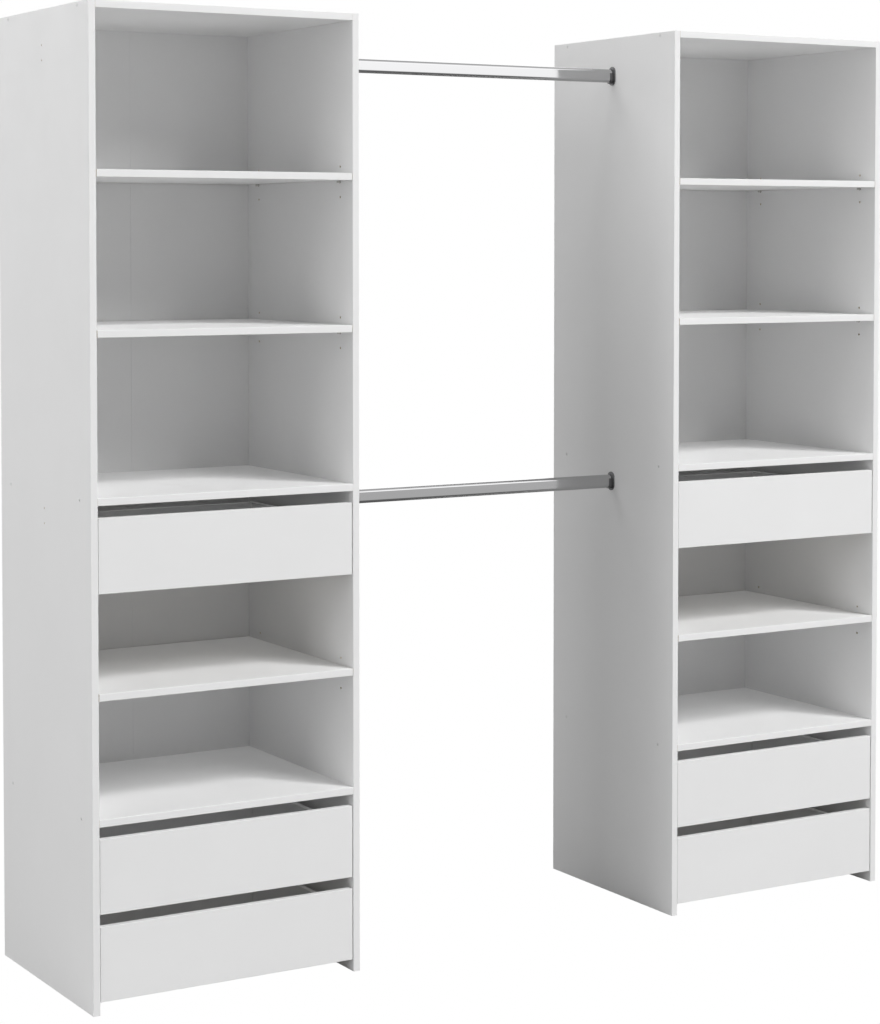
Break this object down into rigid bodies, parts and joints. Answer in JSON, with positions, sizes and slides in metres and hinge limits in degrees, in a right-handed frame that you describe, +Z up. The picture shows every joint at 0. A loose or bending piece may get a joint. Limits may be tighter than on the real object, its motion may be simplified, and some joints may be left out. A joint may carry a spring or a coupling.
{
  "type": "closet system",
  "caption": "Freestanding closet system: open shelf towers with handleless drawers, joined by hanging rails one above the other.",
  "frame": {"origin": "on the floor, under the middle of the whole system", "axes": "+X to the right seen from the front, +Y towards the wall, +Z up; the towers open towards -Y"},
  "size_m": [2.14, 0.523, 2.154],
  "materials": {
    "white_laminate": "white melamine laminate on particle board, fine satin grain, thin edge band",
    "white_hardboard": "white painted hardboard, 3 mm",
    "chrome_tube": "bright chrome plated tube",
    "flange_metal": "dark grey satin metal",
    "runner_steel": "zinc plated steel",
    "zinc_steel": "zinc plated steel",
    "pin_steel": "nickel plated steel"
  },
  "bodies": {
    "root": {"left_outer_side": "white_laminate", "left_inner_side": "white_laminate", "left_top": "white_laminate", "left_upper_deck": "white_laminate", "left_lower_deck": "white_laminate", "left_shelf_1": "white_laminate", "left_shelf_2": "white_laminate", "left_shelf_3": "white_laminate", "left_back_panel": "white_hardboard", "left_runner_rails": "runner_steel", "right_outer_side": "white_laminate", "right_inner_side": "white_laminate", "right_top": "white_laminate", "right_upper_deck": "white_laminate", "right_lower_deck": "white_laminate", "right_shelf_1": "white_laminate", "right_shelf_2": "white_laminate", "right_shelf_3": "white_laminate", "right_back_panel": "white_hardboard", "right_runner_rails": "runner_steel", "shelf_pins": "pin_steel", "joint_screws": "zinc_steel", "flange_screws": "zinc_steel", "bracket_screws": "zinc_steel", "runner_screws": "zinc_steel", "wall_brackets": "zinc_steel", "upper_rail": "chrome_tube", "lower_rail": "chrome_tube", "upper_rail_flanges": "flange_metal", "lower_rail_flanges": "flange_metal"},
    "left_drawer_1": {"left_drawer_1_front": "white_laminate", "left_drawer_1_sides": "white_laminate", "left_drawer_1_back": "white_laminate", "left_drawer_1_bottom": "white_hardboard", "left_drawer_1_slides": "runner_steel"},
    "left_drawer_2": {"left_drawer_2_front": "white_laminate", "left_drawer_2_sides": "white_laminate", "left_drawer_2_back": "white_laminate", "left_drawer_2_bottom": "white_hardboard", "left_drawer_2_slides": "runner_steel"},
    "left_drawer_3": {"left_drawer_3_front": "white_laminate", "left_drawer_3_sides": "white_laminate", "left_drawer_3_back": "white_laminate", "left_drawer_3_bottom": "white_hardboard", "left_drawer_3_slides": "runner_steel"},
    "right_drawer_1": {"right_drawer_1_front": "white_laminate", "right_drawer_1_sides": "white_laminate", "right_drawer_1_back": "white_laminate", "right_drawer_1_bottom": "white_hardboard", "right_drawer_1_slides": "runner_steel"},
    "right_drawer_2": {"right_drawer_2_front": "white_laminate", "right_drawer_2_sides": "white_laminate", "right_drawer_2_back": "white_laminate", "right_drawer_2_bottom": "white_hardboard", "right_drawer_2_slides": "runner_steel"},
    "right_drawer_3": {"right_drawer_3_front": "white_laminate", "right_drawer_3_sides": "white_laminate", "right_drawer_3_back": "white_laminate", "right_drawer_3_bottom": "white_hardboard", "right_drawer_3_slides": "runner_steel"}
  },
  "joints": [
    {"name": "left_drawer_1_slide", "type": "slide", "parent": "root", "child": "left_drawer_1", "axis": [0, -1, 0], "range_m": [0, 0.33]},
    {"name": "left_drawer_2_slide", "type": "slide", "parent": "root", "child": "left_drawer_2", "axis": [0, -1, 0], "range_m": [0, 0.33]},
    {"name": "left_drawer_3_slide", "type": "slide", "parent": "root", "child": "left_drawer_3", "axis": [0, -1, 0], "range_m": [0, 0.33]},
    {"name": "right_drawer_1_slide", "type": "slide", "parent": "root", "child": "right_drawer_1", "axis": [0, -1, 0], "range_m": [0, 0.33]},
    {"name": "right_drawer_2_slide", "type": "slide", "parent": "root", "child": "right_drawer_2", "axis": [0, -1, 0], "range_m": [0, 0.33]},
    {"name": "right_drawer_3_slide", "type": "slide", "parent": "root", "child": "right_drawer_3", "axis": [0, -1, 0], "range_m": [0, 0.33]}
  ]
}
